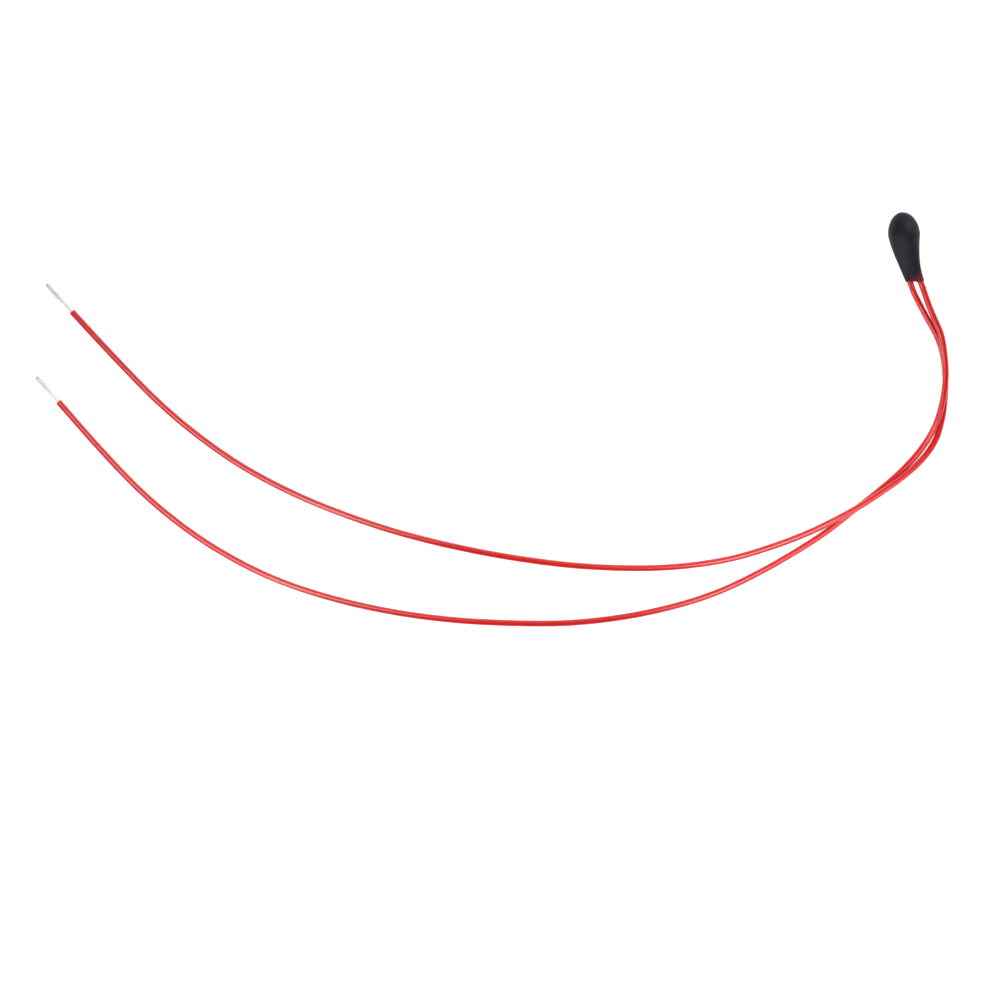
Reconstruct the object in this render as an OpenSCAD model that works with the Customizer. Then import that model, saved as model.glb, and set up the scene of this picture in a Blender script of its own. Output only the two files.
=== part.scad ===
// Bead thermistor: a metal-oxide chip between two soldered leads, dipped in dark epoxy, with red
// insulation and tinned free ends. It lies on a flat surface, on its bead and its leads.
// Millimetres. +Z is up, +Y points along the bead to its nose, and the origin is under the
// middle of the bead. Left and right are as seen from above.

/* [Bead] */
// Largest diameter of the epoxy coating
bead_d = 2.7; // [2.3:0.05:3.2]
// Length of the coating along its bent axis, from the nose to the mouth
bead_l = 5.9; // [5.4:0.1:7.5]
// Length from the nose to the widest section, where the chip sits
nose_l = 1.9; // [1.4:0.05:2.2]
// Length behind the widest section over which the shoulder stays full
shoulder_l = 0.4; // [0.2:0.1:1.2]
// Length before the mouth over which the neck stays slim
neck_l = 1.3; // [0.8:0.1:2.4]
// Degrees that the axis turns through from the nose to the mouth
bead_bend = 20; // [4:1:30]
// Coating left over the leads at the mouth
mouth_film = 0.08; // [0.04:0.01:0.12]

/* [Chip] */
// Side of the square ceramic chip
chip_side = 1; // [0.7:0.05:1.15]
// Thickness of the chip between its silvered faces
chip_t = 0.5; // [0.4:0.05:0.7]
// Thickness of the silver on each face
electrode_t = 0.025; // [0.015:0.005:0.05]
// Solder between the silver and a conductor
solder_t = 0.02; // [0.015:0.005:0.05]
// Wall of solder round a conductor
solder_wall = 0.1; // [0.06:0.01:0.14]
// Bare rim of silver at each end of a solder joint
solder_rim = 0.08; // [0.02:0.01:0.2]

/* [Leads] */
// Diameter of the tinned copper conductor
conductor_d = 0.25; // [0.2:0.01:0.3]
// Outer diameter of the insulation
insulation_d = 0.53; // [0.42:0.01:0.6]
// Length of insulation held inside the coating
insulation_grip = 1.5; // [0.8:0.1:2]
// Length that a lead runs straight on from the mouth
exit_l = 0.9; // [0.6:0.1:1.2]
// Gap between the leads where one lies over the other
lead_gap = 0.02; // [0.02:0.01:0.1]
// Stripped length of the left lead
strip_left = 3.1; // [2.2:0.05:4]
// Stripped length of the right lead
strip_right = 2.75; // [2.2:0.05:4]

/* [Tinned ends] */
// Diameter of the solder coat on a stripped end
tin_d = 0.36; // [0.32:0.01:0.42]
// Bare conductor between the insulation and the solder coat
tin_start = 1.1; // [0.3:0.1:1.3]
// Length over which the coat swells to its full diameter
tin_swell = 0.5; // [0.2:0.1:0.8]
// Solder past the cut end of the conductor
tin_cap = 0.08; // [0.04:0.01:0.15]
// Thickness of the coat where it starts
tin_edge = 0.015; // [0.01:0.005:0.03]

/* [Hidden] */

LEFT = -1;
RIGHT = 1;
$fn = 48;

// Rings and sides of the lofted coating, and the power of its oval section at the mouth
nose_rings = 8;
flank_rings = 14;
bead_sides = 32;
mouth_power = 4;

// Sides of a lead, and the spacing of its rings in insulation diameters
lead_sides = 8;
ring_spacing = 3;

// Widths that follow from the stack of chip, silver, solder and conductors
lead_pitch = chip_t + 2 * (electrode_t + solder_t) + conductor_d;
mouth_w = lead_pitch + insulation_d + 2 * mouth_film;
mouth_h = insulation_d + 2 * mouth_film;

// Each lead's route from the mouth to the end of its insulation, as [x, y, rise, stack] from the
// middle of the mouth. Rise is 1 at the height of the bead's axis and 0 on the surface below.
// Stack is 1 where the lead lies over the other one. The left lead dips under the right one at the
// first crossing and passes over it at the second.
route_left = [
    [0.38, -1.92, 0.88, 0], [0.94, -2.95, 0.62, 0],
    [1.86, -4.6, 0.25, 0], [2.4, -6.2, 0.08, 0], [2.6, -8.2, 0.01, 0],
    [2.55, -10, 0, 0], [2.3, -11.7, 0, 0], [1.8, -13.3, 0, 0.03], [0.8, -14.8, 0, 0.25],
    [-0.8, -16.3, 0, 0.7], [-2.6, -17.6, 0, 1.05], [-4.6, -18.9, 0, 1.12], [-6.8, -20.1, 0, 0.9],
    [-9.1, -21.2, 0, 0.4], [-12, -22.3, 0, 0.08], [-15.4, -23.3, 0, 0.01], [-19.2, -23.9, 0, 0],
    [-23.2, -24.1, 0, 0], [-28.2, -23.9, 0, 0], [-33.2, -23.3, 0, 0], [-38.1, -22.4, 0, 0],
    [-43, -21.2, 0, 0], [-47.6, -19.7, 0, 0], [-52, -17.9, 0, 0], [-56.2, -15.7, 0, 0],
    [-60, -13.1, 0, 0], [-63.5, -10.15, 0, 0], [-67.1, -6.5, 0, 0], [-70.77, -2.55, 0, 0]
];
route_right = [
    [1.06, -1.75, 0.93, 0.08], [1.5, -2.85, 0.75, 0.3],
    [2.2, -4.5, 0.4, 0.7], [2.5, -6.2, 0.12, 1], [2.6, -8, 0.02, 1.1],
    [2.4, -9.8, 0, 1.05], [1.9, -11.7, 0, 0.8], [1.1, -13.3, 0, 0.35], [-0.1, -14.9, 0, 0.06],
    [-1.7, -16.5, 0, 0.01], [-3.5, -18, 0, 0], [-5.4, -19.5, 0, 0], [-7.6, -21.2, 0, 0],
    [-10.1, -22.8, 0, 0], [-13.1, -24.5, 0, 0], [-16.5, -26.1, 0, 0], [-20.2, -27.3, 0, 0],
    [-24.5, -28.2, 0, 0], [-29.2, -28.7, 0, 0], [-34.2, -28.7, 0, 0], [-39.2, -28.4, 0, 0],
    [-44.2, -27.7, 0, 0], [-49, -26.6, 0, 0], [-53.5, -25.1, 0, 0], [-57.6, -23.1, 0, 0],
    [-61.3, -20.7, 0, 0], [-64.8, -17.8, 0, 0], [-68.2, -14.3, 0, 0], [-71.9, -10.12, 0, 0]
];

function mix(a, b, share) = a + (b - a) * share;
function unit(v) = v / norm(v);

// A cubic curve between two values that it leaves and meets along straight handles
function bezier(a, b, c, d, s) =
    a * pow(1 - s, 3) + 3 * b * pow(1 - s, 2) * s + 3 * c * (1 - s) * s * s + d * s * s * s;

// The bead's axis is an arc. t is the length along it from the nose.
bend_r = bead_l / (bead_bend * PI / 180);
function axis_angle(t) = bead_bend * t / bead_l;
function axis_point(t) = bend_r * [1 - cos(axis_angle(t)), -sin(axis_angle(t)), 0];
function axis_right(t) = [cos(axis_angle(t)), sin(axis_angle(t)), 0];
function axis_ahead(t) = [sin(axis_angle(t)), -cos(axis_angle(t)), 0];

// Sections of the coating, as [t, half width, half height, power of the oval]: an ellipse over the
// nose, then an S-curve down the shoulder to the flat neck
function nose_section(s) =
    let (r = bead_d / 2 * sin(90 * s))
    [nose_l * (1 - cos(90 * s)), r, r, 2];
function flank_section(s) =
    let (full = 1 - s * s * (3 - 2 * s))
    [
        bezier(nose_l, nose_l + shoulder_l, bead_l - neck_l, bead_l, s),
        mix(mouth_w, bead_d, full) / 2,
        mix(mouth_h, bead_d, full) / 2,
        mix(mouth_power, 2, full)
    ];
sections = concat(
    [for (k = [1:nose_rings]) nose_section(k / nose_rings)],
    [for (k = [1:flank_rings]) flank_section(k / flank_rings)]
);

function oval(x, power) = sign(x) * pow(abs(x), 2 / power);
function section_ring(section) = [
    for (k = [0:bead_sides - 1])
        let (a = 360 * k / bead_sides)
        axis_point(section[0])
            - axis_right(section[0]) * section[1] * oval(cos(a), section[3])
            + [0, 0, section[2] * oval(sin(a), section[3])]
];
bead_rings = [for (section = sections) section_ring(section)];

// The origin is under the middle of the coating's box, so the nose stands off it by half the box
bead_x = [for (ring = bead_rings, p = ring) p[0]];
bead_y = [for (ring = bead_rings, p = ring) p[1]];
nose = [-(min(bead_x) + max(bead_x)) / 2, -min(bead_y) / 2, bead_d / 2];
mouth = nose + axis_point(bead_l);

// A point beside the axis, and a point in the chip's own square frame
function beside_axis(t, across) = nose + axis_point(t) + across * axis_right(t);
function at_chip(across, along) =
    beside_axis(nose_l, across) - along * axis_ahead(nose_l);

function route_point(p) = [
    mouth[0] + p[0],
    mouth[1] + p[1],
    mix(insulation_d, bead_d, p[2]) / 2 + p[3] * (insulation_d + lead_gap)
];

// A lead's points from the chip to the end of its insulation. The conductor is straight beside the
// chip, then follows the axis of the bead and runs straight out of the mouth. The insulation starts
// at GRIP_POINT, and OUTSIDE_POINT is the first point past the mouth.
GRIP_POINT = 3;
OUTSIDE_POINT = 6;
chip_end = nose_l + chip_side / 2;
grip_t = bead_l - insulation_grip;
inner_stops = [(chip_end + grip_t) / 2, grip_t, (grip_t + bead_l) / 2, bead_l];
function lead_points(side, route) =
    let (across = side * lead_pitch / 2)
    concat(
        [at_chip(across, chip_side / 2), at_chip(across, -chip_side / 2)],
        [for (t = inner_stops) beside_axis(t, across)],
        [beside_axis(bead_l, across) + exit_l * axis_ahead(bead_l)],
        [for (p = route) route_point(p)]
    );
points_left = lead_points(LEFT, route_left);
points_right = lead_points(RIGHT, route_right);

// A smooth curve through b and c, and its slope, with a and d as the points before and after them
function curve(a, b, c, d, s) =
    b + (c - a) * s / 2 + (a - 2.5 * b + 2 * c - d / 2) * s * s
        + (1.5 * (b - c) + (d - a) / 2) * s * s * s;
function slope(a, b, c, d, s) =
    (c - a) / 2 + (2 * a - 5 * b + 4 * c - d) * s + (4.5 * (b - c) + 1.5 * (d - a)) * s * s;

// The points round the stretch after point i, with the ends carried on straight
function around(points, i) =
    let (last = len(points) - 1)
    [
        i > 0 ? points[i - 1] : 2 * points[0] - points[1],
        points[i],
        points[i + 1],
        i + 1 < last ? points[i + 2] : 2 * points[last] - points[last - 1]
    ];

// Stations along a lead from one of its points to another, as [middle, direction]
function station(points, i, s) =
    let (p = around(points, i))
    [curve(p[0], p[1], p[2], p[3], s), unit(slope(p[0], p[1], p[2], p[3], s))];
function steps(points, i) =
    max(1, round(norm(points[i + 1] - points[i]) / (ring_spacing * insulation_d)));
function stations(points, from, to) =
    concat(
        [
            for (i = [from:to - 1])
                let (count = steps(points, i))
                for (k = [0:count - 1]) station(points, i, k / count)
        ],
        [station(points, to - 1, 1)]
    );

// A ring of a lead, with its flats on the diameter and one flat underneath
function ring_r(diameter) = diameter / 2 / cos(180 / lead_sides);
function lead_ring(station, diameter) =
    let (across = unit(cross(station[1], [0, 0, 1])), up = cross(across, station[1]))
    [
        for (k = [0:lead_sides - 1])
            let (a = 360 * (k + 0.5) / lead_sides)
            station[0] + ring_r(diameter) * (cos(a) * across + sin(a) * up)
    ];

// Triangles between the rings of one skin, whose first point has the given number
function skin(rings, sides, first) = [
    for (i = [0:rings - 2], k = [0:sides - 1])
        let (a = first + i * sides + k, b = first + i * sides + (k + 1) % sides)
        each [[a, b, a + sides], [b, b + sides, a + sides]]
];
function flipped(faces) = [for (f = faces) [f[0], f[2], f[1]]];
function flat(lists) = [for (list = lists, item = list) item];

// A closed solid along a row of rings, with a flat end and a point that closes its start
module loft(rings, start) {
    sides = len(rings[0]);
    end = (len(rings) - 1) * sides;
    start_point = end + sides;
    polyhedron(
        concat(flat(rings), [start]),
        concat(
            skin(len(rings), sides, 0),
            [for (k = [0:sides - 1]) [start_point, (k + 1) % sides, k]],
            [[for (k = [0:sides - 1]) end + k]]
        )
    );
}

// A tube between two rows of rings, one inside the other
module hollow_loft(outer, inner) {
    sides = len(outer[0]);
    inside = len(outer) * sides;
    end = inside - sides;
    polyhedron(
        flat(concat(outer, inner)),
        concat(
            skin(len(outer), sides, 0),
            flipped(skin(len(inner), sides, inside)),
            [
                for (k = [0:sides - 1])
                    let (next = (k + 1) % sides)
                    [k, inside + k, inside + next, next]
            ],
            [
                for (k = [0:sides - 1])
                    let (next = (k + 1) % sides)
                    [end + k, end + next, end + inside + next, end + inside + k]
            ]
        )
    );
}

module place_at_chip() {
    translate(beside_axis(nose_l, 0)) rotate([0, 0, axis_angle(nose_l)]) children();
}

// The outside of the coating
module bead_form() {
    translate(nose) loft(bead_rings, axis_point(0));
}

module chip_form() {
    place_at_chip() cube([chip_t, chip_side, chip_side], center = true);
}

module electrode_form(side) {
    place_at_chip()
        translate([side * (chip_t + electrode_t) / 2, 0, 0])
            cube([electrode_t, chip_side, chip_side], center = true);
}

// A round-ended run of solder along the conductor, cut flat where it wets the silver
module solder_form(side) {
    solder_d = conductor_d + 2 * solder_wall;
    joint_l = chip_side - 2 * solder_rim;
    straight = joint_l - solder_d;
    face = chip_t / 2 + electrode_t;
    difference() {
        place_at_chip()
            intersection() {
                translate([side * lead_pitch / 2, 0, 0])
                    rotate([90, 0, 0])
                        union() {
                            cylinder(d = solder_d, h = straight, center = true);
                            for (end = [-1, 1])
                                translate([0, 0, end * straight / 2]) sphere(d = solder_d);
                        }
                translate([side * (face + solder_d), 0, 0])
                    cube([2 * solder_d, 2 * chip_side, 2 * solder_d], center = true);
            }
        conductor_form(stations(points_of(side), 0, 1));
    }
}

// A lead's points, its last point, its stripped length and the station at its cut end
function points_of(side) = side == LEFT ? points_left : points_right;
function last_of(side) = len(points_of(side)) - 1;
function strip_of(side) = side == LEFT ? strip_left : strip_right;
function insulation_end(side) = station(points_of(side), last_of(side) - 1, 1);
function cut_end(side) =
    let (end = insulation_end(side))
    [end[0] + strip_of(side) * end[1], end[1]];

module conductor_form(run) {
    loft([for (place = run) lead_ring(place, conductor_d)], run[0][0]);
}

module insulation_form(run) {
    hollow_loft(
        [for (place = run) lead_ring(place, insulation_d)],
        [for (place = run) lead_ring(place, conductor_d)]
    );
}

// The solder dip: it swells from a thin edge, runs straight, and closes in a dome past the cut end
module tinned_end_form(side) {
    end = insulation_end(side);
    dome = strip_of(side) + tin_cap - tin_d / 2;
    difference() {
        translate(end[0])
            rotate([0, 90, atan2(end[1][1], end[1][0])])
                rotate_extrude()
                    polygon(concat(
                        [
                            [0, tin_start],
                            [ring_r(conductor_d) + tin_edge, tin_start],
                            [tin_d / 2, tin_start + tin_swell]
                        ],
                        [for (a = [0:15:90]) [tin_d / 2 * cos(a), dome + tin_d / 2 * sin(a)]]
                    ));
        conductor_form([end, cut_end(side)]);
    }
}

// The coating is cast round all that it holds, so each held piece fits it face to face
module epoxy_bead() {
    color("#2a292e")
        difference() {
            bead_form();
            chip_form();
            for (side = [LEFT, RIGHT]) {
                electrode_form(side);
                solder_form(side);
                conductor_form(stations(points_of(side), 0, OUTSIDE_POINT));
                insulation_form(stations(points_of(side), GRIP_POINT, OUTSIDE_POINT));
            }
        }
}

module conductor(side) {
    color("#cfd0d0")
        conductor_form(concat(stations(points_of(side), 0, last_of(side)), [cut_end(side)]));
}

module insulation(side) {
    color("#c4161c") insulation_form(stations(points_of(side), GRIP_POINT, last_of(side)));
}

module chip() { color("#3c3f42") chip_form(); }
module electrode_left() { color("#d4d3cd") electrode_form(LEFT); }
module electrode_right() { color("#d4d3cd") electrode_form(RIGHT); }
module solder_joint_left() { color("#b4b6b8") solder_form(LEFT); }
module solder_joint_right() { color("#b4b6b8") solder_form(RIGHT); }
module conductor_left() { conductor(LEFT); }
module conductor_right() { conductor(RIGHT); }
module insulation_left() { insulation(LEFT); }
module insulation_right() { insulation(RIGHT); }
module tinned_end_left() { color("#c8cacb") tinned_end_form(LEFT); }
module tinned_end_right() { color("#c8cacb") tinned_end_form(RIGHT); }

epoxy_bead();
chip();
electrode_left();
electrode_right();
solder_joint_left();
solder_joint_right();
conductor_left();
conductor_right();
insulation_left();
insulation_right();
tinned_end_left();
tinned_end_right();
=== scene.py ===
# %% [markdown]
# # A bead thermistor
#
# A small chip of metal-oxide ceramic is soldered between two insulated leads, and that end is dipped
# in dark epoxy. The CAD model holds the pieces at their real size and place. This lesson loads it as
# a fixed frame, and then gives each piece the round form and the finish that the real one has.

# %% Load the frame
from math import atan2, cos, pi, radians, sin

import bpy
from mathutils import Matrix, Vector


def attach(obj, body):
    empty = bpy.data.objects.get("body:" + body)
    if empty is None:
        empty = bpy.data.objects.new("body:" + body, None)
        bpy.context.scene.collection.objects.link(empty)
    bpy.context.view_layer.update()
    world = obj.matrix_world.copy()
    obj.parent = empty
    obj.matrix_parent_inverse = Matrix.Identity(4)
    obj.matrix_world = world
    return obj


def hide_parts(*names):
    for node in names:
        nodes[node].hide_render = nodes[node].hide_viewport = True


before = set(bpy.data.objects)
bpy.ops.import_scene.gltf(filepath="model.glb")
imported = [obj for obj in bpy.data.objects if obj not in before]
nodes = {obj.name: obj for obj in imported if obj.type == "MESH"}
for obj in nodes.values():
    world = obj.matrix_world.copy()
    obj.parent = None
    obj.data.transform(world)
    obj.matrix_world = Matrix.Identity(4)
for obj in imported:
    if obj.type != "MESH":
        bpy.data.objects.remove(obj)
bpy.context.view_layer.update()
print("CAD nodes:", ", ".join(sorted(nodes)))

# %% [markdown]
# ## Units and small tools
#
# Blender works in metres and the part is a few millimetres thick, so sizes are written in millimetres
# and multiplied by MM where they meet Blender. Operators act on all that is selected, so the helpers
# first select just what they work on. They name a new object, apply a modifier to it, and put its
# place into its mesh.

# %% Helpers for objects
MM = 0.001


def select_only(*objects):
    """Selects these objects alone and makes the first one active"""
    bpy.ops.object.select_all(action="DESELECT")
    for obj in objects:
        obj.select_set(True)
    bpy.context.view_layer.objects.active = objects[0]


def named(name):
    """Gives the object that an operator has just made its own name"""
    obj = bpy.context.object
    obj.name = obj.data.name = name
    return obj


def apply_modifier(obj, kind, **settings):
    """Adds a modifier with its settings and applies it"""
    modifier = obj.modifiers.new(kind.title(), kind)
    for key, value in settings.items():
        setattr(modifier, key, value)
    select_only(obj)
    bpy.ops.object.modifier_apply(modifier=modifier.name)


def settle(obj, smooth_angle=40):
    """Puts an object's place into its mesh and shades it smooth up to an angle"""
    select_only(obj)
    bpy.ops.object.transform_apply(location=True, rotation=True, scale=True)
    bpy.ops.object.shade_smooth_by_angle(angle=radians(smooth_angle))
    print(f"{obj.name}: {len(obj.data.polygons)} faces, {obj.dimensions / MM} mm")


# %% [markdown]
# ## The bead's axis
#
# The end that was dipped is slightly bent, so the bead's axis is an arc. The leads leave along it.
# Every place on the bead is a length t along that arc from the nose, and a distance to its right.
# The sizes and the place of the nose are those of the CAD model.

# %% The arc
BEAD_D = 2.7
BEAD_L = 5.9
NOSE_L = 1.9
BEAD_BEND = radians(20)
NOSE = Vector((-0.2444, 3.0213, BEAD_D / 2))
BEND_R = BEAD_L / BEAD_BEND


def axis_angle(t):
    return BEAD_BEND * t / BEAD_L


def axis_point(t):
    return NOSE + BEND_R * Vector((1 - cos(axis_angle(t)), -sin(axis_angle(t)), 0))


def axis_right(t):
    return Vector((cos(axis_angle(t)), sin(axis_angle(t)), 0))


def axis_ahead(t):
    return Vector((sin(axis_angle(t)), -cos(axis_angle(t)), 0))


MOUTH = axis_point(BEAD_L)
print(f"The mouth of the bead is at {MOUTH.to_tuple(3)} mm")

# %% [markdown]
# ## The camera
#
# The photograph looks straight down. Its scale follows from the leads. One point that is known in the
# photograph and in the model, the mouth of the bead, fixes where the middle of the picture falls. A
# long lens keeps the view nearly free of perspective, as it is in the photograph.

# %% Camera
PHOTO_SIDE = 1001
PIXELS_PER_MM = 11.9
MOUTH_PIXEL = (914.2, 281.4)
LENS = 300

view_width = PHOTO_SIDE / PIXELS_PER_MM
view_middle = Vector((
    MOUTH.x + (PHOTO_SIDE / 2 - MOUTH_PIXEL[0]) / PIXELS_PER_MM,
    MOUTH.y - (PHOTO_SIDE / 2 - MOUTH_PIXEL[1]) / PIXELS_PER_MM,
    0,
))
bpy.ops.object.camera_add(rotation=(0, 0, 0))
camera = named("camera")
camera.data.lens = LENS
camera.data.clip_start = MM
camera_height = view_width * LENS / camera.data.sensor_width
camera.location = (view_middle + Vector((0, 0, camera_height))) * MM
bpy.context.scene.camera = camera
print(f"The camera looks down from {camera_height:.0f} mm on a square of {view_width:.1f} mm")

# %% [markdown]
# ## The routes of the leads
#
# Each lead is some 100 mm of solid tinned wire in a thin red coat. It leaves the mouth of the bead,
# comes down to the table and lies in a long loose curve. The left lead passes under the right one just
# after the bead and over it a little further on. The points are those of the CAD model, as
# (x, y, rise, stack) from the middle of the mouth. Rise is 1 at the height of the bead's axis and 0
# on the table, and stack is 1 where a lead lies over the other one.

# %% Route points
INSULATION_D = 0.53
INSULATION_GRIP = 1.5
EXIT_L = 0.9
LEAD_PITCH = 0.84
LEAD_GAP = 0.02
CHIP_SIDE = 1.0
LEFT, RIGHT = -1, 1
SIDE_NAMES = {LEFT: "left", RIGHT: "right"}

ROUTES = {
    LEFT: (
        (0.38, -1.92, 0.88, 0), (0.94, -2.95, 0.62, 0), (1.86, -4.6, 0.25, 0), (2.4, -6.2, 0.08, 0),
        (2.6, -8.2, 0.01, 0), (2.55, -10, 0, 0), (2.3, -11.7, 0, 0), (1.8, -13.3, 0, 0.03),
        (0.8, -14.8, 0, 0.25), (-0.8, -16.3, 0, 0.7), (-2.6, -17.6, 0, 1.05), (-4.6, -18.9, 0, 1.12),
        (-6.8, -20.1, 0, 0.9), (-9.1, -21.2, 0, 0.4), (-12, -22.3, 0, 0.08), (-15.4, -23.3, 0, 0.01),
        (-19.2, -23.9, 0, 0), (-23.2, -24.1, 0, 0), (-28.2, -23.9, 0, 0), (-33.2, -23.3, 0, 0),
        (-38.1, -22.4, 0, 0), (-43, -21.2, 0, 0), (-47.6, -19.7, 0, 0), (-52, -17.9, 0, 0),
        (-56.2, -15.7, 0, 0), (-60, -13.1, 0, 0), (-63.5, -10.15, 0, 0), (-67.1, -6.5, 0, 0),
        (-70.77, -2.55, 0, 0),
    ),
    RIGHT: (
        (1.06, -1.75, 0.93, 0.08), (1.5, -2.85, 0.75, 0.3), (2.2, -4.5, 0.4, 0.7), (2.5, -6.2, 0.12, 1),
        (2.6, -8, 0.02, 1.1), (2.4, -9.8, 0, 1.05), (1.9, -11.7, 0, 0.8), (1.1, -13.3, 0, 0.35),
        (-0.1, -14.9, 0, 0.06), (-1.7, -16.5, 0, 0.01), (-3.5, -18, 0, 0), (-5.4, -19.5, 0, 0),
        (-7.6, -21.2, 0, 0), (-10.1, -22.8, 0, 0), (-13.1, -24.5, 0, 0), (-16.5, -26.1, 0, 0),
        (-20.2, -27.3, 0, 0), (-24.5, -28.2, 0, 0), (-29.2, -28.7, 0, 0), (-34.2, -28.7, 0, 0),
        (-39.2, -28.4, 0, 0), (-44.2, -27.7, 0, 0), (-49, -26.6, 0, 0), (-53.5, -25.1, 0, 0),
        (-57.6, -23.1, 0, 0), (-61.3, -20.7, 0, 0), (-64.8, -17.8, 0, 0), (-68.2, -14.3, 0, 0),
        (-71.9, -10.12, 0, 0),
    ),
}
# Which of a lead's points is the start of its insulation
GRIP_POINT = 3


def lead_points(side):
    """A lead's points in millimetres, from the chip to the end of its insulation"""
    across = side * LEAD_PITCH / 2

    def beside(t):
        return axis_point(t) + across * axis_right(t)

    half_chip = CHIP_SIDE / 2 * axis_ahead(NOSE_L)
    grip = BEAD_L - INSULATION_GRIP
    inner = ((NOSE_L + CHIP_SIDE / 2 + grip) / 2, grip, (grip + BEAD_L) / 2, BEAD_L)
    points = [beside(NOSE_L) - half_chip, beside(NOSE_L) + half_chip]
    points += [beside(t) for t in inner]
    points.append(beside(BEAD_L) + EXIT_L * axis_ahead(BEAD_L))
    for x, y, rise, stack in ROUTES[side]:
        low = INSULATION_D / 2 + (BEAD_D - INSULATION_D) / 2 * rise
        points.append(Vector((MOUTH.x + x, MOUTH.y + y, low + stack * (INSULATION_D + LEAD_GAP))))
    return points


LEADS = {side: lead_points(side) for side in (LEFT, RIGHT)}
print({SIDE_NAMES[side]: len(points) for side, points in LEADS.items()}, "points")

# %% [markdown]
# ## Wire as a curve
#
# A lead could be a cylinder bent by a modifier, but a Bezier curve with a round bevel is made for
# this: it keeps its thickness in every bend. The handles are a sixth of the way between the points on
# either side, which is the same smooth spline that the CAD tubes follow. The curve is then converted,
# because a mesh can have its cut end shaped.

# %% Curve builder
CURVE_STEPS = 10
ROUND_SIDES = 20


def handle_reach(points, i):
    """How far a point's handles reach, with the ends of the line carried on straight"""
    before = points[i - 1] if i > 0 else 2 * points[0] - points[1]
    after = points[i + 1] if i + 1 < len(points) else 2 * points[i] - points[i - 1]
    return (after - before) / 6


def end_direction(points):
    return (points[-1] - points[-2]).normalized()


def wire_along(name, points, first, diameter, bare=0):
    """A round tube along a lead from one of its points on, with a straight bare length at its end"""
    data = bpy.data.curves.new(name, "CURVE")
    data.dimensions = "3D"
    data.twist_mode = "Z_UP"
    data.resolution_u = CURVE_STEPS
    data.bevel_depth = diameter / 2 * MM
    data.bevel_resolution = ROUND_SIDES // 2 - 2
    spline = data.splines.new("BEZIER")
    stops = [(points[i], handle_reach(points, i)) for i in range(first, len(points))]
    if bare:
        stops.append((points[-1] + bare * end_direction(points), bare / 3 * end_direction(points)))
    spline.bezier_points.add(len(stops) - 1)
    for knot, (place, reach) in zip(spline.bezier_points, stops):
        knot.handle_left_type = knot.handle_right_type = "FREE"
        knot.co = place * MM
        knot.handle_left = (place - reach) * MM
        knot.handle_right = (place + reach) * MM
    if bare:
        last = spline.bezier_points[-2]
        last.handle_right = last.co + bare / 3 * end_direction(points) * MM
    obj = bpy.data.objects.new(name, data)
    bpy.context.collection.objects.link(obj)
    select_only(obj)
    bpy.ops.object.convert(target="MESH")
    return bpy.context.object


print(f"Wire has {ROUND_SIDES} sides and {CURVE_STEPS} steps from point to point")

# %% [markdown]
# ## The red insulation
#
# The insulation is a thin extruded tube. On the real lead it is cut round and pulled off the last few
# millimetres, which leaves a square end with a softened rim and the wire standing out of it. Solidify
# gives the open tube its wall, so that the end is a true ring, and a small bevel breaks its edges.
# The smoothing angle is just over the step between the tube's sides, so that the shading stays even
# up to the bevel and doesn't lean over at the cut.

# %% Insulation
CONDUCTOR_D = 0.25
WALL = (INSULATION_D - CONDUCTOR_D) / 2
RIM_BEVEL = 0.025
RIM_ANGLE = radians(60)
SIDE_STEP = 360 / ROUND_SIDES
SMOOTH_OVER_STEP = 3

insulation = {}
for side, points in LEADS.items():
    tube = wire_along(f"lead_insulation_{SIDE_NAMES[side]}", points, GRIP_POINT, INSULATION_D)
    apply_modifier(tube, "SOLIDIFY", thickness=WALL * MM, offset=-1, use_even_offset=True)
    apply_modifier(
        tube, "BEVEL", width=RIM_BEVEL * MM, segments=2, limit_method="ANGLE", angle_limit=RIM_ANGLE
    )
    settle(tube, SIDE_STEP + SMOOTH_OVER_STEP)
    insulation[side] = tube

# %% [markdown]
# ## The tinned wire
#
# One solid wire runs through each lead, from the chip to the cut end. Only its last millimetres show,
# and a short cylinder would do for them, but a whole wire keeps the lead true inside. It is the same
# curve with a smaller bevel, closed at both ends by filling the open rings.

# %% Conductors
STRIP = {LEFT: 3.1, RIGHT: 2.75}

conductors = {}
for side, points in LEADS.items():
    wire = wire_along(f"lead_wire_{SIDE_NAMES[side]}", points, 0, CONDUCTOR_D, STRIP[side])
    select_only(wire)
    bpy.ops.object.mode_set(mode="EDIT")
    bpy.ops.mesh.select_all(action="SELECT")
    bpy.ops.mesh.fill_holes(sides=0)
    bpy.ops.object.mode_set(mode="OBJECT")
    settle(wire)
    conductors[side] = wire

# %% [markdown]
# ## Drawing a shape out of a ring
#
# The solder on the wire ends and the epoxy drop both grow along one line, like something turned or
# drawn. By hand they are shaped in edit mode: an open ring is selected, each extrude adds a ring
# further on, and a resize sets how wide that ring is. These helpers find a ring by its place and do
# those steps for a list of rings.

# %% Helpers for edit mode
SAME_PLACE = 0.001


def select_points(obj, wanted):
    """In edit mode, selects the points whose place passes a test"""
    bpy.ops.mesh.select_all(action="DESELECT")
    bpy.ops.object.mode_set(mode="OBJECT")
    for vertex in obj.data.vertices:
        vertex.select = wanted(vertex.co / MM)
    bpy.ops.object.mode_set(mode="EDIT")


def select_ring(obj, x):
    """In edit mode, selects the points at one place along the x axis"""
    select_points(obj, lambda place: abs(place.x - x) < SAME_PLACE)


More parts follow.
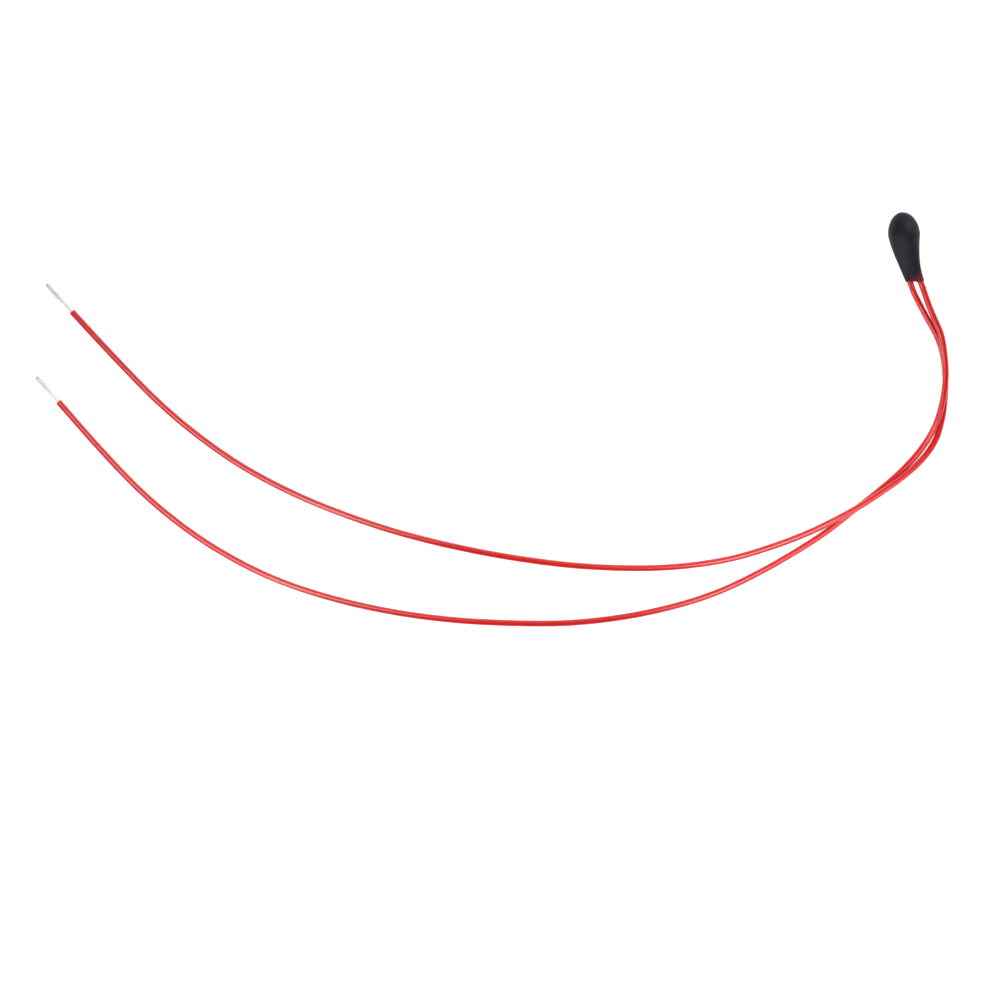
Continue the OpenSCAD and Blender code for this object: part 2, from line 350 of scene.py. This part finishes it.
def draw_out(obj, start, width, rings):
    """Extrudes the ring at start through rings of (x, width), each scaled about the x axis"""
    select_ring(obj, start)
    at, wide = start, width
    for x, ring_width in rings:
        bpy.ops.mesh.extrude_region_move(TRANSFORM_OT_translate={"value": ((x - at) * MM, 0, 0)})
        scale = ring_width / wide
        bpy.ops.transform.resize(value=(1, scale, scale), center_override=(x * MM, 0, 0))
        at, wide = x, ring_width


print(f"Points within {SAME_PLACE} mm count as one place")

# %% [markdown]
# ## The solder-dipped ends
#
# The stripped end was dipped in solder. The dip left a coat that starts thin, swells, and runs to a
# rounded drop past the cut end. It starts as a short open cylinder along x, and its two ends are drawn
# out and closed: towards the insulation it thins in a soft curve, and past the cut end it rounds off.

# %% Straight coats
TIN_D = 0.36
TIN_START = 1.1
TIN_SWELL = 0.5
TIN_CAP = 0.08
TIN_EDGE = 0.02
TIN_EDGE_D = CONDUCTOR_D + 2 * TIN_EDGE
TIN_SIDES = 24
# Rings from the full diameter to the thin edge, as shares of the swell's length, and how they thin
SWELL = (0.25, 0.5, 0.75, 1.0)
SWELL_POWER = 1.5
# Rings past the full diameter, as (share of the dome's length, share of its diameter)
DOME = ((0.35, 0.93), (0.65, 0.74), (0.88, 0.45), (1.0, 0.2))


def straight_coat(side):
    """The solder on one end, along x from the end of the insulation"""
    full_start = TIN_START + TIN_SWELL
    full_end = STRIP[side] + TIN_CAP - TIN_D / 2
    bpy.ops.object.select_all(action="DESELECT")
    bpy.ops.mesh.primitive_cylinder_add(
        vertices=TIN_SIDES,
        radius=TIN_D / 2 * MM,
        depth=(full_end - full_start) * MM,
        end_fill_type="NOTHING",
        location=((full_start + full_end) / 2 * MM, 0, 0),
        rotation=(0, pi / 2, 0),
    )
    coat = named(f"solder_dip_{SIDE_NAMES[side]}")
    bpy.ops.object.transform_apply(location=True, rotation=True, scale=True)
    bpy.ops.object.mode_set(mode="EDIT")
    swell = [
        (full_start - TIN_SWELL * share, TIN_EDGE_D + (TIN_D - TIN_EDGE_D) * (1 - share) ** SWELL_POWER)
        for share in SWELL
    ]
    draw_out(coat, full_start, TIN_D, swell)
    bpy.ops.mesh.edge_face_add()
    dome = [(full_end + TIN_D / 2 * share, TIN_D * width) for share, width in DOME]
    draw_out(coat, full_end, TIN_D, dome)
    bpy.ops.mesh.edge_face_add()
    bpy.ops.mesh.select_all(action="SELECT")
    bpy.ops.mesh.subdivide(number_cuts=2)
    bpy.ops.mesh.normals_make_consistent(inside=False)
    bpy.ops.object.mode_set(mode="OBJECT")
    print(f"{coat.name}: full from {full_start:.2f} to {full_end:.2f} mm past the insulation")
    return coat


# %% [markdown]
# ## Placing and rounding the solder
#
# Each coat is turned along the end of its lead and moved there. A subdivision rounds it, and a cloud
# displacement makes it a little uneven, as hand-dipped solder is.

# %% Tinned ends
TIN_UNEVEN = 0.035
TIN_LUMP = 0.55
TIN_SMOOTH = 60

lumps = bpy.data.textures.new("solder_lumps", "CLOUDS")
lumps.noise_scale = TIN_LUMP * MM
tinned_ends = {}
for side, points in LEADS.items():
    coat = straight_coat(side)
    coat.location = points[-1] * MM
    coat.rotation_euler.z = end_direction(points).to_2d().angle_signed(Vector((1, 0)))
    bpy.ops.object.transform_apply(location=True, rotation=True, scale=True)
    apply_modifier(coat, "SUBSURF", levels=1, render_levels=1)
    apply_modifier(
        coat, "DISPLACE", texture=lumps, texture_coords="LOCAL", strength=TIN_UNEVEN * MM, mid_level=0.5
    )
    settle(coat, TIN_SMOOTH)
    tinned_ends[side] = coat

# %% [markdown]
# ## Attaching the leads
#
# Each lead is a free cord, with the wire and the solder on its end as the pieces that go with it.
# The new pieces stand for the plain CAD tubes, which are hidden, and each is attached to the root.


for side, points in LEADS.items():
    name = SIDE_NAMES[side]
    for piece, node, slot in (
        (insulation[side], f"insulation_{name}", "insulation"),
        (conductors[side], f"conductor_{name}", "tinned_copper"),
        (tinned_ends[side], f"tinned_end_{name}", "solder"),
    ):
        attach(piece, "root")
        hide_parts(node)

# %% [markdown]
# ## The epoxy bead
#
# The dip leaves a drop: round at the nose, full over the chip, and drawn out to a flat neck round the
# two leads. It is modelled straight along the x axis and bent afterwards. Its flank is a soft S from
# the full round to the flat oval of the mouth. A turned profile can't give that, because the width and
# the height shrink differently, so each ring gets its own two sizes.

# %% The drop's sections
SHOULDER_L = 0.4
NECK_L = 1.3
MOUTH_FILM = 0.08
MOUTH_W = LEAD_PITCH + INSULATION_D + 2 * MOUTH_FILM
MOUTH_H = INSULATION_D + 2 * MOUTH_FILM


def flank_section(s):
    """The place, width and height of the flank's section, from the widest ring to the mouth"""
    full = 1 - s * s * (3 - 2 * s)
    stops = (NOSE_L, NOSE_L + SHOULDER_L, BEAD_L - NECK_L, BEAD_L)
    weights = ((1 - s) ** 3, 3 * (1 - s) ** 2 * s, 3 * (1 - s) * s * s, s**3)
    t = sum(stop * weight for stop, weight in zip(stops, weights))
    return t, MOUTH_W + (BEAD_D - MOUTH_W) * full, MOUTH_H + (BEAD_D - MOUTH_H) * full


print(f"The mouth is {MOUTH_W:.2f} mm wide and {MOUTH_H:.2f} mm high")

# %% [markdown]
# ## The nose of the drop
#
# A hand would start the drop from a sphere, stretched along the axis. The half that is the nose stays,
# and the other half is deleted, which leaves an open rim at the widest place.

# %% Nose
DROP_SIDES = 64

bpy.ops.object.select_all(action="DESELECT")
bpy.ops.mesh.primitive_uv_sphere_add(
    segments=DROP_SIDES, ring_count=DROP_SIDES // 2, radius=BEAD_D / 2 * MM, rotation=(0, pi / 2, 0)
)
drop = named("epoxy_drop")
drop.scale.z = NOSE_L / (BEAD_D / 2)
bpy.ops.object.transform_apply(location=True, rotation=True, scale=True)
bpy.ops.object.mode_set(mode="EDIT")
select_points(drop, lambda place: place.x > SAME_PLACE)
bpy.ops.mesh.delete(type="VERT")
bpy.ops.mesh.select_all(action="SELECT")
bpy.ops.transform.translate(value=(NOSE_L * MM, 0, 0))
bpy.ops.object.mode_set(mode="OBJECT")
print(f"Nose: {len(drop.data.polygons)} faces")

# %% [markdown]
# ## The flank and the mouth
#
# The open rim is extruded back ring by ring, each with the width and height of its section. The last
# ring is turned, because the epoxy ran further down the right lead, and is closed with one face.

# %% Flank
FLANK_RINGS = 20
MOUTH_SLANT = radians(20)
MOUTH_SAG = 0.06

bpy.ops.object.mode_set(mode="EDIT")
select_ring(drop, NOSE_L)
at, wide, high = NOSE_L, BEAD_D, BEAD_D
for ring in range(1, FLANK_RINGS + 1):
    t, ring_w, ring_h = flank_section(ring / FLANK_RINGS)
    bpy.ops.mesh.extrude_region_move(TRANSFORM_OT_translate={"value": ((t - at) * MM, 0, 0)})
    bpy.ops.transform.resize(value=(1, ring_w / wide, ring_h / high), center_override=(t * MM, 0, 0))
    at, wide, high = t, ring_w, ring_h
bpy.ops.transform.rotate(value=MOUTH_SLANT, orient_axis="Z", center_override=(BEAD_L * MM, 0, 0))
bpy.ops.transform.translate(value=(MOUTH_SAG * MM, 0, 0))
bpy.ops.mesh.edge_face_add()
bpy.ops.mesh.select_all(action="SELECT")
bpy.ops.mesh.normals_make_consistent(inside=False)
bpy.ops.object.mode_set(mode="OBJECT")
print(f"Straight drop: {len(drop.data.polygons)} faces")

# %% [markdown]
# ## Where the epoxy creeps along the leads
#
# Wet epoxy climbs a little way along each lead before it sets. Two short cylinders stand for that, one
# round each lead. The outer end of each is extruded once more and made smaller, so that it tapers.

# %% Sleeves
CREEP = {LEFT: -0.1, RIGHT: 0.22}
CREEP_TAPER = 0.15
TIP_FILM = 0.018
SLEEVE_R = INSULATION_D / 2 + MOUTH_FILM
SLEEVE_TIP_R = INSULATION_D / 2 + TIP_FILM
SLEEVE_SIDES = 32

sleeves = []
for side in (LEFT, RIGHT):
    start = BEAD_L - INSULATION_GRIP
    end = BEAD_L + CREEP[side]
    full = end - CREEP_TAPER
    across = side * LEAD_PITCH / 2
    bpy.ops.object.select_all(action="DESELECT")
    bpy.ops.mesh.primitive_cylinder_add(
        vertices=SLEEVE_SIDES,
        radius=SLEEVE_R * MM,
        depth=(full - start) * MM,
        location=((start + full) / 2 * MM, across * MM, 0),
        rotation=(0, pi / 2, 0),
    )
    sleeve = named(f"sleeve_{SIDE_NAMES[side]}")
    bpy.ops.object.transform_apply(location=True, rotation=True, scale=True)
    bpy.ops.object.mode_set(mode="EDIT")
    select_ring(sleeve, full)
    tip = SLEEVE_TIP_R / SLEEVE_R
    bpy.ops.mesh.extrude_region_move(TRANSFORM_OT_translate={"value": (CREEP_TAPER * MM, 0, 0)})
    bpy.ops.transform.resize(value=(1, tip, tip), center_override=(end * MM, across * MM, 0))
    bpy.ops.object.mode_set(mode="OBJECT")
    sleeves.append(sleeve)
print("Sleeves:", ", ".join(sleeve.name for sleeve in sleeves))

# %% [markdown]
# ## One skin
#
# The sleeves are joined to the drop, and a voxel remesh melts all of it into one skin, which no boolean
# would do as softly. Smoothing then rounds the places where they meet, and a faint displacement keeps
# the drop from being perfectly even.

# %% One skin
VOXEL = 0.035
SMOOTH_PASSES = 10
WAVE_SIZE = 1.3
WAVE_DEPTH = 0.045

select_only(drop, *sleeves)
bpy.ops.object.join()
apply_modifier(drop, "REMESH", mode="VOXEL", voxel_size=VOXEL * MM)
apply_modifier(drop, "SMOOTH", factor=0.5, iterations=SMOOTH_PASSES)
waves = bpy.data.textures.new("epoxy_waves", "CLOUDS")
waves.noise_scale = WAVE_SIZE * MM
apply_modifier(
    drop, "DISPLACE", texture=waves, texture_coords="LOCAL", strength=WAVE_DEPTH * MM, mid_level=0.5
)
print(f"One skin: {len(drop.data.polygons)} faces")

# %% [markdown]
# ## Bending the drop
#
# The straight drop lies along x with its nose at the origin. Each ring could have been turned as it
# was extruded, but a Simple Deform bends the whole skin evenly. It turns through the same arc as the
# leads, counted over the drop's length as measured. A quarter turn and a move then bring it to its
# place in the frame.

# %% Bend and place
SMOOTH_ALL_OVER = 180

drop_length = drop.dimensions.x / MM
apply_modifier(
    drop, "SIMPLE_DEFORM", deform_method="BEND", deform_axis="Z", angle=BEAD_BEND * drop_length / BEAD_L
)
drop.rotation_euler.z = -pi / 2
drop.location = NOSE * MM
settle(drop, SMOOTH_ALL_OVER)
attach(drop, "root")
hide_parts("epoxy_bead")

# %% [markdown]
# ## Colours and nodes
#
# Colours are written as sRGB hex values, as a paint chart gives them, and one function turns them to
# the linear values that shaders use. One more small function adds a node with its settings and links,
# which keeps each material below to a few lines. It names a socket by its name, or by its number, as
# i0 or i6, where the name has a space or several sockets share it.

# %% Helpers for materials


def linear(hex_colour):
    """An sRGB hex colour as a linear RGBA value"""
    channels = [int(hex_colour[i : i + 2], 16) / 255 for i in (1, 3, 5)]
    return [c / 12.92 if c <= 0.04045 else ((c + 0.055) / 1.055) ** 2.4 for c in channels] + [1]


def add(tree, kind, settings=None, **links):
    """Adds a node, sets its properties, and fills its sockets with values or links"""
    node = tree.nodes.new(kind)
    for key, value in (settings or {}).items():
        setattr(node, key, value)
    for key, value in links.items():
        socket = node.inputs[int(key[1:])] if key[0] == "i" and key[1:].isdigit() else node.inputs[key]
        if isinstance(value, bpy.types.NodeSocket):
            tree.links.new(value, socket)
        else:
            socket.default_value = value
    return node


def new_material(name):
    """A material with its node tree and its shader"""
    material = bpy.data.materials.new(name)
    material.use_nodes = True
    tree = material.node_tree
    return material, tree, tree.nodes["Principled BSDF"]


def per_mm(size):
    """The scale of a texture whose pattern is that many millimetres across"""
    return 1 / (size * MM)


# %% [markdown]
# ## Insulation: extruded fluoropolymer
#
# The lead's coat is a hard, glossy extruded plastic in a strong red. The eye gets a sharp highlight
# along the wire, a slight change of red over a few millimetres, and a few tiny scuffs where the wire
# has rubbed on others. One flat red would look drawn, so slow noise changes the colour, and the middle
# of each cell of a wide Voronoi pattern is a scuff.

# %% Red insulation
RED = "#C21411"
RED_DEEP = "#B00E0C"
RED_SCUFF = "#E2684E"
RED_DRIFT = 4.0
SCUFF_SPACING = 2.6
SCUFF_R = 0.07
SCUFF_STRENGTH = 0.8

red_plastic, tree, shader = new_material("extruded_red_fluoropolymer")
place = add(tree, "ShaderNodeTexCoord")
drift = add(tree, "ShaderNodeTexNoise", Vector=place.outputs["Object"], Scale=per_mm(RED_DRIFT), Detail=2)
body_red = add(
    tree, "ShaderNodeMix", {"data_type": "RGBA"},
    Factor=drift.outputs["Fac"], i6=linear(RED_DEEP), i7=linear(RED),
)
speck = add(
    tree, "ShaderNodeTexVoronoi",
    Vector=place.outputs["Object"], Scale=per_mm(SCUFF_SPACING), Randomness=1,
)
scuff = add(
    tree, "ShaderNodeMapRange", {"interpolation_type": "SMOOTHSTEP"},
    Value=speck.outputs["Distance"], i1=0.0, i2=SCUFF_R / SCUFF_SPACING, i3=SCUFF_STRENGTH, i4=0.0,
)
red = add(
    tree, "ShaderNodeMix", {"data_type": "RGBA"},
    Factor=scuff.outputs["Result"], i6=body_red.outputs[2], i7=linear(RED_SCUFF),
)
tree.links.new(red.outputs[2], shader.inputs["Base Color"])
shader.inputs["IOR"].default_value = 1.6
print("Material:", red_plastic.name)

# %% [markdown]
# ## Lines from the die
#
# Plastic that was pressed through a die keeps fine lines along its run. They are far too shallow to
# model, so one noise pattern changes the gloss and tilts the shading. It reads the UV map, which
# follows the wire, and is squeezed to change often around the wire and slowly along it.

# %% Die lines
# The real lines are some 0.01 mm apart, drawn coarser here so that they show
DIE_LINES = 30
# How often the pattern of lines changes along a lead
DIE_CHANGES = 3
DIE_DEPTH = 0.01
RED_ROUGHNESS = (0.15, 0.21)
# A noise texture seldom goes past these values
NOISE_LOW = 0.3
NOISE_HIGH = 0.7

around = add(tree, "ShaderNodeMapping", Vector=place.outputs["UV"], Scale=(DIE_CHANGES, DIE_LINES, 1))
lines = add(tree, "ShaderNodeTexNoise", Vector=around.outputs["Vector"], Scale=1, Detail=3)
gloss = add(
    tree, "ShaderNodeMapRange",
    Value=lines.outputs["Fac"], i1=NOISE_LOW, i2=NOISE_HIGH, i3=RED_ROUGHNESS[0], i4=RED_ROUGHNESS[1],
)
tree.links.new(gloss.outputs["Result"], shader.inputs["Roughness"])
relief = add(tree, "ShaderNodeBump", Strength=0.1, Distance=DIE_DEPTH * MM, Height=lines.outputs["Fac"])
tree.links.new(relief.outputs["Normal"], shader.inputs["Normal"])
print(f"Die lines: about {DIE_LINES} round the wire, {DIE_DEPTH} mm deep")

# %% [markdown]
# ## Bead: filled black epoxy
#
# The coat is a dark, filled epoxy that set without a mould. It is satin, nearly black with a cool
# cast, and its skin has a fine orange peel. The peel could be modelled, but it is so fine that a bump
# map does.

# %% Black epoxy
EPOXY = "#13131B"
EPOXY_COOL = "#14161F"
PATCH = 1.6
PEEL = 0.16
PEEL_DEPTH = 0.02
EPOXY_ROUGHNESS = (0.48, 0.6)

black_epoxy, tree, shader = new_material("dipped_black_epoxy")
place = add(tree, "ShaderNodeTexCoord")
patches = add(tree, "ShaderNodeTexNoise", Vector=place.outputs["Object"], Scale=per_mm(PATCH), Detail=3)
body = add(
    tree, "ShaderNodeMix", {"data_type": "RGBA"},
    Factor=patches.outputs["Fac"], i6=linear(EPOXY), i7=linear(EPOXY_COOL),
)
sheen = add(
    tree, "ShaderNodeMapRange",
    Value=patches.outputs["Fac"], i1=NOISE_LOW, i2=NOISE_HIGH, i3=EPOXY_ROUGHNESS[0], i4=EPOXY_ROUGHNESS[1],
)
tree.links.new(sheen.outputs["Result"], shader.inputs["Roughness"])
peel = add(tree, "ShaderNodeTexNoise", Vector=place.outputs["Object"], Scale=per_mm(PEEL), Detail=2)
relief = add(tree, "ShaderNodeBump", Strength=0.35, Distance=PEEL_DEPTH * MM, Height=peel.outputs["Fac"])
tree.links.new(relief.outputs["Normal"], shader.inputs["Normal"])
# Grains of filler stand out of the resin and take most of its gloss away
shader.inputs["Specular IOR Level"].default_value = 0.2
shader.inputs["IOR"].default_value = 1.5
print("Material:", black_epoxy.name)

# %% [markdown]
# ## The thin film at the mouth
#
# At the mouth the epoxy thins to a film, and the red of the leads shows through it as a dark red-brown,
# further in on the right lead than on the left one. The film could be a piece of its own, but a blend
# of colours by place follows the skin without a seam. Noise makes its edge ragged.

# %% Film
EPOXY_FILM = "#641417"
FILM_LENGTH = 0.75
FILM_SLANT = 0.35
FILM_RAGGED = 0.5
RAGGED_SIZE = 0.3
# Where the film begins and where it is at its thinnest, in film lengths from the mouth
FILM_BEGINS = -0.5
FILM_THINNEST = 0.6

# How far a point lies past the mouth, in film lengths across the film's slanted edge
from_mouth = add(
    tree, "ShaderNodeVectorMath", {"operation": "SUBTRACT"},
    i0=place.outputs["Object"], i1=MOUTH * MM,
)
film_way = (axis_ahead(BEAD_L) + FILM_SLANT * axis_right(BEAD_L)) / (FILM_LENGTH * MM)
past = add(
    tree, "ShaderNodeVectorMath", {"operation": "DOT_PRODUCT"},
    i0=from_mouth.outputs[0], i1=film_way,
)
ragged = add(
    tree, "ShaderNodeTexNoise",
    Vector=place.outputs["Object"], Scale=per_mm(RAGGED_SIZE), Detail=2,
)
edge = add(
    tree, "ShaderNodeMath", {"operation": "MULTIPLY_ADD"},
    i0=ragged.outputs["Fac"], i1=FILM_RAGGED, i2=past.outputs["Value"],
)
film = add(
    tree, "ShaderNodeMapRange", {"interpolation_type": "SMOOTHSTEP"},
    Value=edge.outputs["Value"], i1=FILM_BEGINS, i2=FILM_THINNEST, i3=0.0, i4=1.0,
)
thin = add(
    tree, "ShaderNodeMix", {"data_type": "RGBA"},
    Factor=film.outputs["Result"], i6=body.outputs[2], i7=linear(EPOXY_FILM),
)
tree.links.new(thin.outputs[2], shader.inputs["Base Color"])
print(f"Film: some {FILM_LENGTH} mm long")

# %% [markdown]
# ## The metals
#
# The wire is copper with a bright tin skin, drawn through a die, so its lines run along it. The solder
# on the ends froze from a melt, so it is rounder, greyer and mottled. The chip's silver faces are a
# fired paste, and look matt and grainy. All are plain metals with the default index. They differ only
# in colour, roughness and relief, so one function makes all three.

# %% Tinned wire, solder and fired silver


def metal(name, dark, light, grain, rough, relief_depth, stretch=(1, 1, 1), coords="Object"):
    """A metal whose colour, roughness and relief all follow one mottled pattern"""
    material, tree, shader = new_material(name)
    place = add(tree, "ShaderNodeTexCoord")
    along = add(tree, "ShaderNodeMapping", Vector=place.outputs[coords], Scale=stretch)
    mottle = add(tree, "ShaderNodeTexNoise", Vector=along.outputs["Vector"], Scale=grain, Detail=4)
    colour = add(
        tree, "ShaderNodeMix", {"data_type": "RGBA"},
        Factor=mottle.outputs["Fac"], i6=linear(dark), i7=linear(light),
    )
    tree.links.new(colour.outputs[2], shader.inputs["Base Color"])
    polish = add(
        tree, "ShaderNodeMapRange",
        Value=mottle.outputs["Fac"], i1=NOISE_LOW, i2=NOISE_HIGH, i3=rough[0], i4=rough[1],
    )
    tree.links.new(polish.outputs["Result"], shader.inputs["Roughness"])
    bump = add(
        tree, "ShaderNodeBump",
        Strength=0.5, Distance=relief_depth * MM, Height=mottle.outputs["Fac"],
    )
    tree.links.new(bump.outputs["Normal"], shader.inputs["Normal"])
    shader.inputs["Metallic"].default_value = 1
    print("Material:", name)
    return material


tinned_copper = metal(
    "drawn_tinned_copper", dark="#BEBDB9", light="#DCDBD7",
    grain=1, rough=(0.4, 0.55), relief_depth=0.004, stretch=(4, 24, 1), coords="UV",
)
solder = metal(
    "dipped_tin_solder", dark="#B4B7BA", light="#D6D8D9",
    grain=per_mm(0.12), rough=(0.45, 0.62), relief_depth=0.012,
)
fired_silver = metal(
    "fired_silver_paste", dark="#B4B2AB", light="#DDDBD4",
    grain=per_mm(0.04), rough=(0.4, 0.6), relief_depth=0.004,
)

# %% [markdown]
# ## The chip: sintered oxide
#
# The chip is pressed and fired from metal-oxide powder. It is a dull dark grey with a fine grain and
# tiny pores. A Voronoi pattern has cells with edges, as grains have, which plain noise hasn't. The chip
# is hidden in the bead, but it is finished as the rest is.

# %% Sintered oxide
OXIDE = "#33363A"
OXIDE_GRAIN = "#4A4E52"
GRAIN = 0.03
PIT_DEPTH = 0.005

sintered_oxide, tree, shader = new_material("sintered_metal_oxide")
place = add(tree, "ShaderNodeTexCoord")
grains = add(tree, "ShaderNodeTexVoronoi", Vector=place.outputs["Object"], Scale=per_mm(GRAIN))
shade = add(
    tree, "ShaderNodeMix", {"data_type": "RGBA"},
    Factor=grains.outputs["Distance"], i6=linear(OXIDE_GRAIN), i7=linear(OXIDE),
)
tree.links.new(shade.outputs[2], shader.inputs["Base Color"])
pits = add(
    tree, "ShaderNodeBump",
    Strength=0.4, Distance=PIT_DEPTH * MM, Height=grains.outputs["Distance"],
)
tree.links.new(pits.outputs["Normal"], shader.inputs["Normal"])
shader.inputs["Roughness"].default_value = 0.75
print("Material:", sintered_oxide.name)

# %% [markdown]
# ## A finish for every piece
#
# Each piece takes the material that the real one is made of. The pieces that stay as the CAD model
# has them, inside the bead, get theirs too, so that no piece is left plain. A material could be given
# face by face, but each of these pieces is of one stuff, so one material slot does.

# %% Give every piece its finish


def finish_with(obj, material):
    """Gives a piece one material in place of those that it has"""
    obj.data.materials.clear()
    obj.data.materials.append(material)
    print(f"{obj.name}: {material.name}")


finish_with(drop, black_epoxy)
finish_with(nodes["chip"], sintered_oxide)
for side, name in SIDE_NAMES.items():
    finish_with(insulation[side], red_plastic)
    finish_with(conductors[side], tinned_copper)
    finish_with(tinned_ends[side], solder)
    finish_with(nodes[f"electrode_{name}"], fired_silver)
    finish_with(nodes[f"solder_joint_{name}"], solder)

# %% [markdown]
# ## The table
#
# The object lies on plain white card. The card is an ordinary matt white that takes a shadow, and to
# the camera and in reflections it also glows a little, so that it reads as the white ground of the
# photograph without more light on the object.

# %% White card
CARD = "#EDEDEC"
CARD_GLOW = 0.52
CARD_SIDE = 6000

bpy.ops.object.select_all(action="DESELECT")
bpy.ops.mesh.primitive_plane_add(size=CARD_SIDE * MM, location=(view_middle.x * MM, view_middle.y * MM, 0))
card = named("white_card")
bpy.ops.object.transform_apply(location=True)
white_card, tree, shader = new_material("matt_white_card")
tree.nodes.remove(shader)
ray = add(tree, "ShaderNodeLightPath")
glossy = add(
    tree, "ShaderNodeMath", {"operation": "MAXIMUM"},
    i0=ray.outputs["Is Camera Ray"], i1=ray.outputs["Is Glossy Ray"],
)
seen = add(
    tree, "ShaderNodeMath", {"operation": "MAXIMUM"},
    i0=glossy.outputs["Value"], i1=ray.outputs["Is Transmission Ray"],
)
glow = add(tree, "ShaderNodeMath", {"operation": "MULTIPLY"}, i0=seen.outputs["Value"], i1=CARD_GLOW)
lit = add(tree, "ShaderNodeEmission", Color=(1, 1, 1, 1), Strength=glow.outputs["Value"])
matt = add(tree, "ShaderNodeBsdfDiffuse", Color=linear(CARD))
both = add(tree, "ShaderNodeAddShader", i0=matt.outputs["BSDF"], i1=lit.outputs["Emission"])
tree.links.new(both.outputs["Shader"], tree.nodes["Material Output"].inputs["Surface"])
finish_with(card, white_card)
print("Stage:", card.name)

# %% [markdown]
# ## The light
#
# The bands on the leads tell where the light was. They are bright on the left and on the right, and
# dark in the middle with a dim band on the far side. So bright strips hang close over the part and
# leave a gap over its middle, where a lens would be, and a wide soft box stands behind. Two small
# boxes do the rest: one gives the nose of the bead its sheen, and one in front lights the leads near
# the bead. It looks along them, so they turn a clear red and don't mirror it. A sun or a point lamp
# would leave only a thin glint on a wire, so all of them are area lamps.

# %% Kinds of lamp
bpy.context.scene.view_settings.view_transform = "Standard"
STRIP_HEIGHT = 60
# Power per square metre at which an area lamp looks as bright as white paper
PAPER_WATTS = 4


def area_lamp(name, place, turn, width, length, level):
    """A rectangular lamp, with its brightness given against that of white paper under plain light"""
    bpy.ops.object.light_add(type="AREA", location=place * MM, rotation=turn)
    lamp = named(name)
    lamp.data.shape = "RECTANGLE"
    lamp.data.size = width * MM
    lamp.data.size_y = length * MM
    lamp.data.energy = PAPER_WATTS * level * width * length * MM**2
    lamp.visible_camera = False
    print(f"{name}: {width:.0f} by {length:.0f} mm, {lamp.data.energy:.3f} W")


def strip_lamp(name, start, end, width, level):
    """A lamp that hangs level over the table from one point to another and shines down"""
    near = Vector((*start, STRIP_HEIGHT))
    far = Vector((*end, STRIP_HEIGHT))
    run = far - near
    area_lamp(name, (near + far) / 2, (0, 0, atan2(-run.x, run.y)), width, run.length, level)


def soft_box(name, target, azimuth, elevation, distance, width, height, level):
    """A lamp that faces a point, placed by its direction from there in degrees"""
    around = radians(azimuth)
    up = radians(elevation)
    away = Vector((cos(around) * cos(up), sin(around) * cos(up), sin(up)))
    turn = away.to_track_quat("Z", "Y").to_euler()
    area_lamp(name, target + away * distance, turn, width, height, level)


# %% Lamps
NEAR_LEADS = Vector((2.5, -13, 0))

strip_lamp("left_strip", start=(-41, -5), end=(-95, -128), width=12, level=4.8)
strip_lamp("far_left_strip", start=(-77, -14), end=(-74, -66), width=19, level=7.6)
strip_lamp("right_strip", start=(-20, -13), end=(2, -81), width=12, level=2.9)
soft_box(
    "back_box", view_middle, azimuth=85, elevation=34, distance=300, width=400, height=220, level=0.8
)
soft_box("nose_box", NOSE, azimuth=42, elevation=40, distance=95, width=60, height=60, level=3.9)
soft_box("front_box", NEAR_LEADS, azimuth=-90, elevation=50, distance=28, width=38, height=28, level=1.9)

# %% [markdown]
# ## The room
#
# Besides the lamps and the card, the leads mirror the room. It is bright near the horizon, where the
# white ground goes on, and dim overhead. A picture of a studio could be wrapped round the scene, but
# that plain change with the height is all that shows on a thin wire.

# %% Room
ROOM_DIM = 0.1
ROOM_BRIGHT = 1.0
# Heights of a direction, as the sine of its elevation, where the brightness starts and ends to fall
BRIGHT_UP_TO = 0.05
DIM_FROM = 0.3

world = bpy.data.worlds.new("studio_room")
bpy.context.scene.world = world
world.use_nodes = True
tree = world.node_tree
way = add(tree, "ShaderNodeTexCoord")
height = add(tree, "ShaderNodeSeparateXYZ", Vector=way.outputs["Generated"])
level = add(
    tree, "ShaderNodeMapRange", {"interpolation_type": "SMOOTHSTEP"},
    Value=height.outputs["Z"], i1=BRIGHT_UP_TO, i2=DIM_FROM, i3=ROOM_BRIGHT, i4=ROOM_DIM,
)
tree.links.new(level.outputs["Result"], tree.nodes["Background"].inputs["Strength"])
tree.nodes["Background"].inputs["Color"].default_value = (1, 1, 1, 1)
print("World:", world.name)
